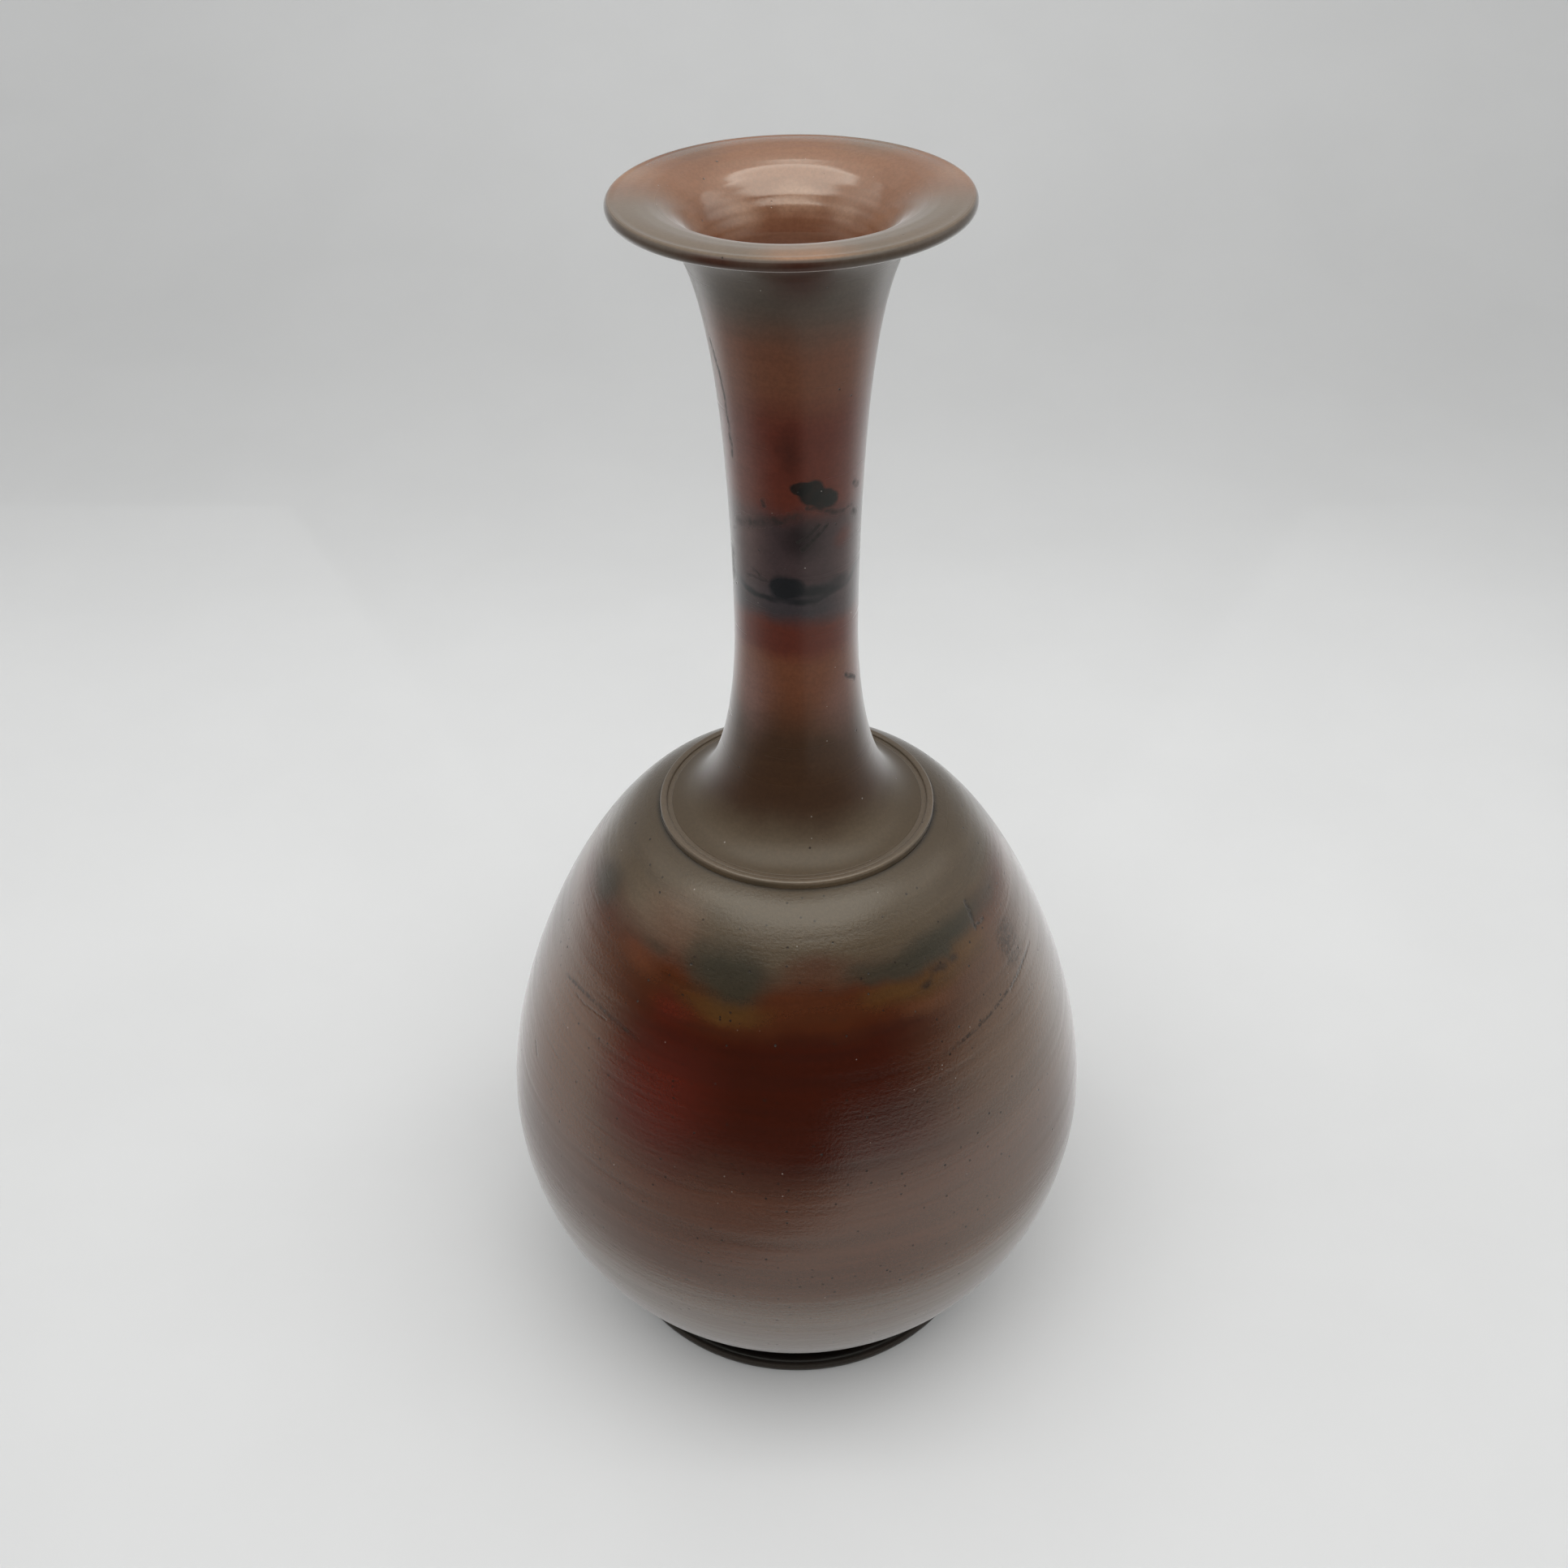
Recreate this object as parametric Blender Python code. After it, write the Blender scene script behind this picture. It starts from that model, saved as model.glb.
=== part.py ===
"""Long-necked bottle vase of unglazed, burnished stoneware.

The vase is thrown and turned in three sections, a foot ring, an egg-shaped body and a trumpet-mouthed neck.
They are luted together with slip, and a bead of clay covers the seam on the shoulder.
Every piece is a turned profile, drawn as (radius, height) points and spun about +Z.
"""

import math

import bmesh
import bpy

# Overall form, in metres, with the foot's resting face at z = 0
HEIGHT = 0.2600
MOUTH_RADIUS = 0.0304
BELLY_RADIUS = 0.0648
BELLY_HEIGHT = 0.0568
FOOT_RADIUS = 0.0449

# Body: an egg with its widest part low down, open at the shoulder
BASE_RADIUS = 0.0415
BASE_HEIGHT = 0.0086
BASE_ANGLE = math.radians(34)
BASE_REACH = 0.0217
BELLY_REACH_BELOW = 0.0140
BELLY_REACH_ABOVE = 0.0282
SHOULDER_RADIUS = 0.0280
SHOULDER_HEIGHT = 0.1347
SHOULDER_ANGLE = math.radians(10)
SHOULDER_REACH = 0.0148
BODY_WALL = 0.0055
FLOOR_THICKNESS = 0.0062
BASE_HOLLOW_RADIUS = 0.0300
BASE_HOLLOW_DEPTH = 0.0012
BASE_HOLLOW_SLOPE = 0.0030
SOCKET_RADIUS = 0.0200
SEAT_DEPTH = 0.0019

# Neck: a skirt on the shoulder, a slim waist and a trumpet mouth with a rolled lip
SKIRT_ANGLE = math.radians(12)
SKIRT_REACH = 0.0130
SKIRT_EDGE_DROP = 0.00035
WAIST_RADIUS = 0.0118
WAIST_HEIGHT = 0.1783
WAIST_REACH_BELOW = 0.0080
FLARE_DELAY = 1.095
LIP_THICKNESS = 0.0023
LIP_ANGLE = math.radians(15)
LIP_REACH = 0.0065
NECK_WALL = 0.0040
TENON_LENGTH = 0.0050
TENON_WALL = 0.0041
BORE_REACH_BELOW = 0.0270
BORE_REACH_ABOVE = 0.0120

# Bead over the shoulder seam
BEAD_WIDTH = 0.0018
BEAD_RISE = 0.0015

# Foot ring: a half-round bead at the floor under a plain waist
FOOT_BEAD_RADIUS = 0.0021
FOOT_WAIST_RADIUS = 0.0414
FOOT_COVE_RADIUS = 0.0011
FOOT_WALL = 0.0070
FOOT_INNER_FLARE = 0.0012

# Joints between the sections
SLIP_THICKNESS = 0.0007
SLIP_MARGIN = 0.0003
CLEARANCE = 0.0003

# Fineness of the turned surfaces
SEGMENTS = 48
BODY_SPANS = 10
NECK_SPANS = 14
BORE_SPANS = 8
ROUND_SPANS = 6
SHARP_ANGLE = math.radians(38)


def clear_scene():
    """Removes whatever objects the scene starts with."""
    for obj in list(bpy.data.objects):
        bpy.data.objects.remove(obj, do_unlink=True)


def along(point, angle, distance):
    """The point that lies at this angle and distance from another, 0 being straight outwards."""
    return (point[0] + distance * math.cos(angle), point[1] + distance * math.sin(angle))


def curve(start, start_handle, end_handle, end, spans):
    """Points of a cubic curve from start to end, both included."""
    points = []
    for step in range(spans + 1):
        t = step / spans
        weights = ((1 - t) ** 3, 3 * t * (1 - t) ** 2, 3 * t * t * (1 - t), t**3)
        corners = (start, start_handle, end_handle, end)
        points.append(tuple(sum(w * c[axis] for w, c in zip(weights, corners)) for axis in (0, 1)))
    return points


def arc(centre, radius, start_angle, end_angle, spans=ROUND_SPANS):
    """Points of a circular arc, both ends included."""
    turn = end_angle - start_angle
    return [along(centre, start_angle + turn * step / spans, radius) for step in range(spans + 1)]


def inside(points, wall_at):
    """The curve that lies inside a wall: each point moved to the left of the curve by its wall thickness."""
    moved = []
    last = len(points) - 1
    for index, (radius, height) in enumerate(points):
        before = points[max(index - 1, 0)]
        after = points[min(index + 1, last)]
        run = math.hypot(after[0] - before[0], after[1] - before[1])
        wall = wall_at(index / last)
        moved.append((radius - wall * (after[1] - before[1]) / run, height + wall * (after[0] - before[0]) / run))
    return moved


def chain(*runs):
    """One profile from several runs of points, without the points where two runs meet twice."""
    profile = []
    for run in runs:
        for point in run:
            if not profile or math.dist(profile[-1], point) > CLEARANCE / 100:
                profile.append(point)
    return profile


def clay(name, colour, roughness):
    """Fired clay of one colour."""
    material = bpy.data.materials.new(name)
    material.use_nodes = True
    shader = material.node_tree.nodes["Principled BSDF"]
    shader.inputs["Base Color"].default_value = (*colour, 1.0)
    shader.inputs["Roughness"].default_value = roughness
    shader.inputs["Metallic"].default_value = 0.0
    return material


def turn(name, profile, material):
    """Spins a profile about +Z into one closed solid. A profile that starts and ends off the axis is a ring."""
    form = bmesh.new()
    verts = [form.verts.new((radius, 0.0, height)) for radius, height in profile]
    edges = [form.edges.new(pair) for pair in zip(verts, verts[1:])]
    if profile[0][0] > 0 and profile[-1][0] > 0:
        edges.append(form.edges.new((verts[-1], verts[0])))
    bmesh.ops.spin(
        form,
        geom=verts + edges,
        axis=(0, 0, 1),
        cent=(0, 0, 0),
        steps=SEGMENTS,
        angle=math.tau,
        use_merge=True,
    )
    bmesh.ops.remove_doubles(form, verts=form.verts, dist=CLEARANCE / 100)
    bmesh.ops.recalc_face_normals(form, faces=form.faces)
    mesh = bpy.data.meshes.new(name)
    form.to_mesh(mesh)
    form.free()
    mesh.shade_smooth()
    mesh.set_sharp_from_angle(angle=SHARP_ANGLE)
    mesh.materials.append(material)
    solid = bpy.data.objects.new(name, mesh)
    bpy.context.collection.objects.link(solid)
    return solid


def seat_height():
    """Height of the flat rim of the body that carries the neck."""
    return SHOULDER_HEIGHT - SEAT_DEPTH


def seam_height():
    """Space that a layer of slip and its two clearances take up between flat faces."""
    return SLIP_THICKNESS + 2 * CLEARANCE


def bead_inner_radius():
    return SHOULDER_RADIUS - CLEARANCE - BEAD_WIDTH


def foot_inner_radius():
    return FOOT_WAIST_RADIUS - FOOT_WALL


def body_outline():
    """The body's outer curve from the base up over the belly to the shoulder."""
    base = (BASE_RADIUS, BASE_HEIGHT)
    belly = (BELLY_RADIUS, BELLY_HEIGHT)
    shoulder = (SHOULDER_RADIUS, SHOULDER_HEIGHT)
    lower = curve(
        base,
        along(base, BASE_ANGLE, BASE_REACH),
        along(belly, -math.pi / 2, BELLY_REACH_BELOW),
        belly,
        BODY_SPANS,
    )
    upper = curve(
        belly,
        along(belly, math.pi / 2, BELLY_REACH_ABOVE),
        along(shoulder, -SHOULDER_ANGLE, SHOULDER_REACH),
        shoulder,
        BODY_SPANS,
    )
    return chain(lower, upper)


def make_body():
    """Egg-shaped vessel with a floor. Its cut rim is a flat seat with a socket for the neck's tenon."""
    outline = body_outline()
    floor_height = BASE_HEIGHT + FLOOR_THICKNESS
    lining = [
        (radius, height)
        for radius, height in inside(outline, lambda _: BODY_WALL)
        if radius > SOCKET_RADIUS and floor_height < height < seat_height() - BODY_WALL / 2
    ]
    hollow_height = BASE_HEIGHT + BASE_HOLLOW_DEPTH
    profile = chain(
        [(0.0, floor_height), (lining[0][0] - BODY_WALL / 2, floor_height)],
        lining,
        [(SOCKET_RADIUS, lining[-1][1] + CLEARANCE), (SOCKET_RADIUS, seat_height())],
        [(SHOULDER_RADIUS, seat_height())],
        reversed(outline),
        [(BASE_HOLLOW_RADIUS + BASE_HOLLOW_SLOPE, BASE_HEIGHT)],
        [(BASE_HOLLOW_RADIUS, hollow_height), (0.0, hollow_height)],
    )
    return turn("body", profile, clay("burnished_red_clay", (0.085, 0.022, 0.016), 0.38))


def neck_outline():
    """The neck's outer curve from the skirt's edge up past the waist to the underside of the lip."""
    bead_top = SHOULDER_HEIGHT + BEAD_RISE
    edge = (bead_inner_radius() - CLEARANCE, bead_top - SKIRT_EDGE_DROP)
    waist = (WAIST_RADIUS, WAIST_HEIGHT)
    lip_middle = (MOUTH_RADIUS - LIP_THICKNESS / 2, HEIGHT - LIP_THICKNESS / 2)
    lip = along(lip_middle, LIP_ANGLE - math.pi / 2, LIP_THICKNESS / 2)
    skirt = curve(
        edge,
        along(edge, math.pi - SKIRT_ANGLE, SKIRT_REACH),
        along(waist, -math.pi / 2, WAIST_REACH_BELOW),
        waist,
        NECK_SPANS,
    )
    trumpet = curve(
        waist,
        along(waist, math.pi / 2, FLARE_DELAY * (lip[1] - waist[1])),
        along(lip, math.pi + LIP_ANGLE, LIP_REACH),
        lip,
        NECK_SPANS,
    )
    return skirt, trumpet, lip_middle


def make_neck():
    """Neck with a bore, a flange and tenon below, and a wall that thins towards the lip."""
    skirt, trumpet, lip_middle = neck_outline()
    flange_height = seat_height() + seam_height()
    tenon_radius = SOCKET_RADIUS - CLEARANCE
    tenon_foot = (tenon_radius - TENON_WALL, flange_height - TENON_LENGTH)
    bore_waist = (WAIST_RADIUS - NECK_WALL, WAIST_HEIGHT)
    bore = curve(
        bore_waist,
        along(bore_waist, -math.pi / 2, BORE_REACH_BELOW),
        along(tenon_foot, math.pi / 2, BORE_REACH_ABOVE),
        tenon_foot,
        BORE_SPANS,
    )
    mouth = inside(trumpet, lambda share: NECK_WALL + (LIP_THICKNESS - NECK_WALL) * share**2)
    lip = arc(lip_middle, LIP_THICKNESS / 2, LIP_ANGLE + math.pi / 2, LIP_ANGLE - math.pi / 2)
    profile = chain(
        lip,
        reversed(trumpet),
        reversed(skirt),
        [(skirt[0][0], flange_height), (tenon_radius, flange_height)],
        [(tenon_radius, tenon_foot[1])],
        reversed(bore),
        mouth[:-1],
    )
    return turn("neck", profile, clay("burnished_brown_clay", (0.130, 0.055, 0.042), 0.36))


def make_shoulder_bead():
    """Half-round bead of clay that lies in the rebate between the body's rim and the neck's skirt."""
    middle_radius = bead_inner_radius() + BEAD_WIDTH / 2
    crown = (middle_radius, SHOULDER_HEIGHT + BEAD_RISE - BEAD_WIDTH / 2)
    foot_height = seat_height() + CLEARANCE
    profile = chain(
        arc(crown, BEAD_WIDTH / 2, math.pi, 0.0),
        [(middle_radius + BEAD_WIDTH / 2, foot_height), (middle_radius - BEAD_WIDTH / 2, foot_height)],
    )
    return turn("shoulder_bead", profile, clay("smoked_olive_clay", (0.110, 0.095, 0.075), 0.40))


def slip_ring(name, inner_radius, outer_radius, foot_height):
    """Flat ring of slip that bonds two sections."""
    top_height = foot_height + SLIP_THICKNESS
    profile = [
        (inner_radius, top_height),
        (outer_radius, top_height),
        (outer_radius, foot_height),
        (inner_radius, foot_height),
    ]
    return turn(name, profile, clay(name + "_clay", (0.160, 0.090, 0.065), 0.70))


def make_shoulder_slip():
    """Slip between the body's rim and the neck's flange, inside the bead."""
    outer_radius = bead_inner_radius() - CLEARANCE
    return slip_ring("shoulder_slip", SOCKET_RADIUS + SLIP_MARGIN, outer_radius, seat_height() + CLEARANCE)


def make_foot_slip():
    """Slip between the foot ring and the body's base."""
    foot_height = BASE_HEIGHT - CLEARANCE - SLIP_THICKNESS
    return slip_ring(
        "foot_slip", foot_inner_radius() + SLIP_MARGIN, FOOT_WAIST_RADIUS - SLIP_MARGIN, foot_height
    )


def make_foot_ring():
    """Turned ring with a round bead on the table, a cove above it and a plain waist under the body."""
    top_height = BASE_HEIGHT - seam_height()
    bead_centre = (FOOT_RADIUS - FOOT_BEAD_RADIUS, FOOT_BEAD_RADIUS)
    cove_centre = (FOOT_WAIST_RADIUS + FOOT_COVE_RADIUS, 2 * FOOT_BEAD_RADIUS + FOOT_COVE_RADIUS)
    inner_radius = foot_inner_radius()
    profile = chain(
        [(inner_radius, top_height), (FOOT_WAIST_RADIUS, top_height)],
        arc(cove_centre, FOOT_COVE_RADIUS, math.pi, 1.5 * math.pi, ROUND_SPANS // 2),
        arc(bead_centre, FOOT_BEAD_RADIUS, math.pi / 2, -math.pi / 2, 2 * ROUND_SPANS),
        [(inner_radius + FOOT_INNER_FLARE, 0.0)],
    )
    return turn("foot_ring", profile, clay("dark_fired_clay", (0.026, 0.018, 0.014), 0.45))


def main():
    clear_scene()
    make_foot_ring()
    make_foot_slip()
    make_body()
    make_shoulder_slip()
    make_shoulder_bead()
    make_neck()


main()
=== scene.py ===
import math
from collections import namedtuple

import bmesh
import bpy
import numpy as np
from bpy.props import FloatProperty, FloatVectorProperty, IntProperty, PointerProperty
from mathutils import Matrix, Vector


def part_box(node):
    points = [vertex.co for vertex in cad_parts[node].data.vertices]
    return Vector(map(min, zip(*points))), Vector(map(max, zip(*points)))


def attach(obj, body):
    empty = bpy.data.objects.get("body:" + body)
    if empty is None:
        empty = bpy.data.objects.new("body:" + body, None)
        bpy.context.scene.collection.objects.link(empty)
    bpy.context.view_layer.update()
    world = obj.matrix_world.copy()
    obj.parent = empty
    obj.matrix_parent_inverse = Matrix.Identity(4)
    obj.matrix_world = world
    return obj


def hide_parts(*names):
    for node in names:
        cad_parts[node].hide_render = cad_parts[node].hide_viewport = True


bl_info = {
    "name": "Burnished bottle vase",
    "version": (1, 0, 0),
    "blender": (4, 5, 0),
    "location": "3D View > Sidebar > Vase",
    "description": "Dresses the turned sections of a long-necked stoneware bottle vase",
    "category": "Object",
}

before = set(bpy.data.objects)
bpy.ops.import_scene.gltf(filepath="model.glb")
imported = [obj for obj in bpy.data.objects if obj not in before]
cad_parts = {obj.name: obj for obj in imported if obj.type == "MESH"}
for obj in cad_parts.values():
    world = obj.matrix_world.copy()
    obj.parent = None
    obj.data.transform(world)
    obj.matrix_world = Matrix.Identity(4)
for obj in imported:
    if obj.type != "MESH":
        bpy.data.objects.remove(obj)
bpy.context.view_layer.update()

MM = 0.001
FLAT = 1e-6
ORIGIN = (0.0, 0.0, 0.0)
SHARP = math.radians(42.0)
EDGE_ROWS = 5
DISC_STEP = 5
BEAD_ROWS = 31
BEAD_FULLNESS = 2.4
TUCK_TOP = 36.0 * MM
TUCK_RUN = 22.0 * MM
PHOTO_SIDE = 1932.0
SENSOR = 36.0
ROOM_REACH = 0.85
CEILING_HEIGHT = 0.91

SEAM_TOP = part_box("shoulder_bead")[1].z
SEAM_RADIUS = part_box("shoulder_bead")[1].x
MOUTH_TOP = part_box("neck")[1].z
MOUTH_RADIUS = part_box("neck")[1].x
SOOT_PLANE = (-0.048, -0.433, 1.0)
SOOT_HEIGHT = 0.1939

BLACK = (0.0, 0.0, 0.0, 1.0)
WARM_GLOSS = (1.0, 0.99, 0.89, 1.0)
PIT_TONE = (0.012, 0.008, 0.007, 1.0)
BODY_MARK_TONE = (0.015, 0.009, 0.007, 1.0)
NECK_MARK_TONE = (0.012, 0.009, 0.008, 1.0)
# Painted shade for the ring just outside the shoulder bead.
CREASE_SHADE_TONE = (0.012, 0.009, 0.007, 1.0)
WORN_TONE = (0.016, 0.008, 0.005, 1.0)
PIT_STAIN = 0.8
DUST_STAIN = 0.5
GRAIN_SWING = 0.07
GRAIN_SCALE = 1500.0
PIT_SCALE = 440.0
DUST_SCALE = 700.0
WANDER_SPREAD = 4.0
WORN_ROUGHNESS = 0.35
HOLLOW_DEPTH = 4.0

Skin = namedtuple("Skin", "pitch seed smooth rough pits dust ridges")
BODY_SKIN = Skin(pitch=240.0, seed=3.0, smooth=0.13, rough=0.18, pits=0.2, dust=0.05, ridges=1.0)
NECK_SKIN = Skin(pitch=420.0, seed=7.0, smooth=0.16, rough=0.174, pits=0.15, dust=0.05, ridges=0.04)
BEAD_SKIN = Skin(pitch=500.0, seed=11.0, smooth=0.26, rough=0.34, pits=0.15, dust=0.05, ridges=0.4)
FOOT_SKIN = Skin(pitch=700.0, seed=13.0, smooth=0.22, rough=0.3, pits=0.06, dust=0.03, ridges=0.4)

# Bands of colour up a wall, each from its lowest to its highest millimetre.
BODY_BANDS = (
    ("low_brown", 0, 46), ("brown_red", 66, 80), ("deep_red", 93, 111), ("red_brown", 117, 120.5),
    ("olive", 127, 136),
)
NECK_BANDS = (
    ("olive", 134, 138), ("umber", 146, 158), ("orange_brown", 171, 174), ("rose_brown", 179.5, 182.5),
    ("blue_grey", 187, 191), ("plum", 194, 204), ("rose_brown", 210, 223), ("tan", 233, 236),
    ("smoke_grey", 248, 259),
)
# The upper band of the foot is painted shade in the cove under the body.
FOOT_BANDS = (("foot_brown", 0, 3), ("cove_shade_black", 3.9, 8))

# Each cloud is (angle from the front in degrees, height, half width and half height in mm, edge, strength).
BODY_CLOUDS = (
    ("flank", [(-62, 98, 34, 34, 0.9, 0.85)]),
    ("right_flank", [(59, 100, 39, 34, 0.85, 0.95), (46, 58, 36, 26, 0.9, 0.6)]),
    ("flank", [(125, 92, 40, 30, 0.9, 0.9), (-135, 95, 36, 30, 0.9, 0.8)]),
    ("crimson", [(-31, 98, 20, 23, 0.9, 0.85), (172, 100, 30, 16, 0.9, 0.7)]),
    ("khaki", [(-48, 126, 15, 9, 0.95, 0.45)]),
    ("tan", [(-40, 127.5, 12, 8, 0.95, 0.4)]),
    ("khaki", [(-37, 130.5, 9, 6, 0.95, 0.35)]),
    ("red_brown", [(7, 125, 10, 3.2, 0.9, 0.6)]),
    ("crimson", [(-33.4, 114.5, 7, 4, 0.9, 0.7)]),
    ("orange_brown", [(-46.3, 118.2, 8, 3.2, 0.9, 0.8)]),
    ("flank", [(34.3, 114.6, 9, 4, 0.9, 0.6)]),
    ("ochre", [(-19, 118, 14, 3.8, 0.85, 0.9), (27, 118.6, 10, 4, 0.9, 0.85),
        (37.6, 118.7, 10, 4.2, 0.9, 0.85), (50, 118.9, 10, 4.4, 0.9, 0.85), (-165, 118, 14, 4, 0.8, 0.8),
        (135, 118.4, 15, 4.6, 0.8, 0.8), (-100, 118.6, 14, 4.2, 0.8, 0.75)]),
    ("slate", [(-19, 123.4, 13.5, 6.2, 0.65, 0.95), (-72, 123.5, 9, 5, 0.8, 0.75),
        (-43, 121.9, 6, 1.5, 0.9, 0.45), (21, 123, 7.5, 2.6, 0.8, 0.7), (31, 122.9, 10, 4, 0.75, 0.9),
        (42, 123.2, 10.5, 4.6, 0.7, 0.95), (53, 123.8, 9, 4, 0.75, 0.85), (66, 123, 10, 3.4, 0.8, 0.5)]),
    ("ochre", [(48.5, 120.8, 6, 2.8, 0.9, 0.8)]),
    ("flank", [(61, 115.5, 8, 4, 0.9, 0.5)]),
    ("slate", [(112, 122, 14, 4.2, 0.8, 0.85), (163, 122, 13, 3.8, 0.8, 0.85),
        (-122, 122, 15, 4.4, 0.8, 0.85)]),
    ("soot", [(34.2, 118.7, 2.4, 1.1, 0.9, 0.6), (38.1, 119.5, 2.8, 1.3, 0.9, 0.6),
        (43.4, 120, 2.4, 1.2, 0.9, 0.5)]),
)
NECK_CLOUDS = (
    # Pale haze with painted sheen: light bands down the left and right sides of the neck.
    ("haze", [(-46, 214, 7, 42, 0.95, 0.35), (-44, 167, 7.5, 14, 0.95, 0.55),
        (54, 205, 6, 50, 0.95, 0.22), (48, 166, 7, 13, 0.95, 0.4)]),
    ("deep_red", [(-4, 219, 4, 8, 0.9, 0.7), (120, 214, 4, 7, 0.9, 0.6)]),
    # Painted shade under the front of the lip.
    ("lip_shade_red", [(2, 251.5, 8, 7.5, 0.9, 0.9), (2, 257.8, 9, 4, 0.9, 0.95),
        (-22, 257.5, 10, 4, 0.9, 0.85)]),
    ("rose_brown", [(43, 201.4, 3.2, 3.2, 0.9, 0.6)]),
    ("purple_black", [(3, 202.4, 6, 6.6, 0.95, 0.85)]),
    ("soot", [(-160, 207, 5, 4, 0.9, 0.7)]),
)
NECK_BLOTS = (
    ("soot", [(-9.4, 192.1, 4.1, 2.9, 0.35, 0.97), (12, 191.3, 4.4, 1.8, 0.8, 0.85),
        (28, 191.1, 4.2, 1.8, 0.8, 0.75), (42, 192.4, 3.2, 1.5, 0.8, 0.65)]),
    ("green_black", [(3, 212.4, 2.4, 1.7, 0.3, 0.9), (12, 211.4, 3, 2.7, 0.3, 0.95),
        (23, 210, 3, 2.5, 0.3, 0.93), (29, 209.4, 1.9, 1.9, 0.4, 0.9)]),
    ("soot", [(150, 198, 8, 2.5, 0.7, 0.9), (-130, 197, 5, 2, 0.7, 0.7), (100, 194.5, 6, 2, 0.7, 0.7)]),
)
LIP_CLOUDS = (
    ("khaki", [(150, 259.5, 12, 3, 0.9, 0.75), (-140, 259, 9, 3, 0.9, 0.55)]),
    ("rose_tan", [(-107, 259.3, 9, 3, 0.9, 0.7), (104, 259.8, 9, 3, 0.9, 0.7),
        (4, 259, 11, 4, 0.9, 0.95)]),
    # Pale film with a painted highlight: these clouds brighten the back and sides of the mouth's lining where
    # the softbox shows in it.
    ("deposit_and_highlight", [(178, 252, 9, 4, 0.9, 0.7), (-148, 251, 6, 4, 0.9, 0.6), (148, 251, 6, 4, 0.9, 0.6)]),
    ("tan", [(-122, 252, 7, 5, 0.9, 0.5), (128, 256, 7, 4, 0.9, 0.3), (-134, 258, 13, 4, 0.9, 0.5)]),
)

# Each mark runs from one (angle, height) to another, with its width in mm and its strength.
BODY_MARKS = (
    (58, 125.6, 56, 121, 0.9, 0.95), (60.5, 121.2, 56, 121, 0.7, 0.9), (74, 108, 58.5, 106.6, 0.7, 0.4),
    (-60, 104.6, -48, 105.8, 0.5, 0.35), (-69.4, 85.3, -67.3, 83.6, 0.6, 0.7),
    (118, 104, 134, 106.5, 0.6, 0.5), (-148, 90, -150, 87, 0.6, 0.6),
)
NECK_MARKS = (
    (-68.3, 236.9, -63.5, 231.8, 0.8, 0.85), (-63.5, 231.8, -60.6, 227.3, 0.8, 0.85),
    (-60.6, 227.3, -58.1, 215.6, 0.7, 0.8), (65, 168, 50.5, 171, 0.9, 0.95),
    (-28.5, 209.6, -27.5, 208.6, 0.8, 0.95), (-41.3, 194.6, -26.8, 193.1, 0.6, 0.7),
    (-49, 193, -31, 193, 0.6, 0.6), (-57, 203.2, -40, 204.4, 1.5, 0.5),
    (-40, 204.4, -20, 205.6, 1.5, 0.5), (-20, 205.6, 0, 207.2, 1.5, 0.5),
    (8.6, 208.7, 25, 207.4, 0.8, 0.8), (25, 207.4, 41.6, 206.4, 0.8, 0.75),
    (41.6, 206.4, 55, 206.6, 0.6, 0.6), (26.5, 204.7, 4.2, 200.1, 0.6, 0.85),
    (20, 205, 2, 201.5, 0.5, 0.75), (-8.5, 206.5, -15.3, 205.2, 0.5, 0.7),
    (-75, 195.2, -76, 190, 1.9, 0.95), (56.5, 210.8, 60, 209.8, 1.2, 0.9),
    (56, 205, 60, 204.2, 1.1, 0.85), (-140, 176, -128, 176.6, 0.5, 0.8),
)

# The long hairlines on the body, each through three (angle, height) points.
WORN_LINES = (
    ((74.0, 108.0), (53.0, 106.6), (36.0, 105.0)),
    ((70.4, 117.4), (65.9, 113.0), (59.9, 111.4)),
    ((-67.4, 105.0), (-52.3, 107.2), (-36.1, 106.1)),
)


def clay_colour(label, note, red, green, blue):
    return FloatVectorProperty(name=label, description=note, subtype="COLOR", size=4,
                               min=0.0, max=1.0, default=(red, green, blue, 1.0))


def length(label, note, metres):
    return FloatProperty(name=label, description=note, default=metres, unit="LENGTH", precision=6)


class VaseForm(bpy.types.PropertyGroup):
    """Sizes of the thrown and burnished surface."""

    turns: IntProperty(name="Turns", description="Steps round the axis", default=256, min=48)
    step: length("Profile step", "Spacing of rows along a profile", 0.0008)
    edge: length("Edge rounding", "Rounding of the turned edges", 0.0003)
    seam: length("Bead spread", "How far the bead is pressed out over the body's rim", 0.00035)
    tuck: length("Bead tuck", "How far the bead's inner edge lies under the skirt", 0.00055)
    roll: length("Bead roll", "Width of the raised roll on the bead", 0.0015)
    crown: length("Bead crown", "Height of the roll's outer rounding", 0.0007)
    crease: length("Bead crease", "Depth of the crease inside the roll", 0.0006)
    flush: length("Bead flush", "How far the bead's inner part lies below the roll", 0.00042)
    base_tuck: length("Base tuck", "How far the wall draws in above the foot", 0.0004)
    lean: length("Neck lean", "How far the mouth's centre stands left of the axis", 0.00095)
    tilt: FloatProperty(name="Mouth tilt", description="Drop of the mouth's left side",
                        default=math.radians(0.88), subtype="ANGLE")
    ripple: length("Burnishing ripple", "Height of the ripples left by the burnisher", 0.000016)
    oval: length("Out of round", "How far the thrown walls are out of round", 0.00015)
    ring_depth: length("Throwing ring depth", "Depth of the rings inside the mouth", 0.00004)
    ring_pitch: length("Throwing ring pitch", "Spacing of the rings inside the mouth", 0.0022)


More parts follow.
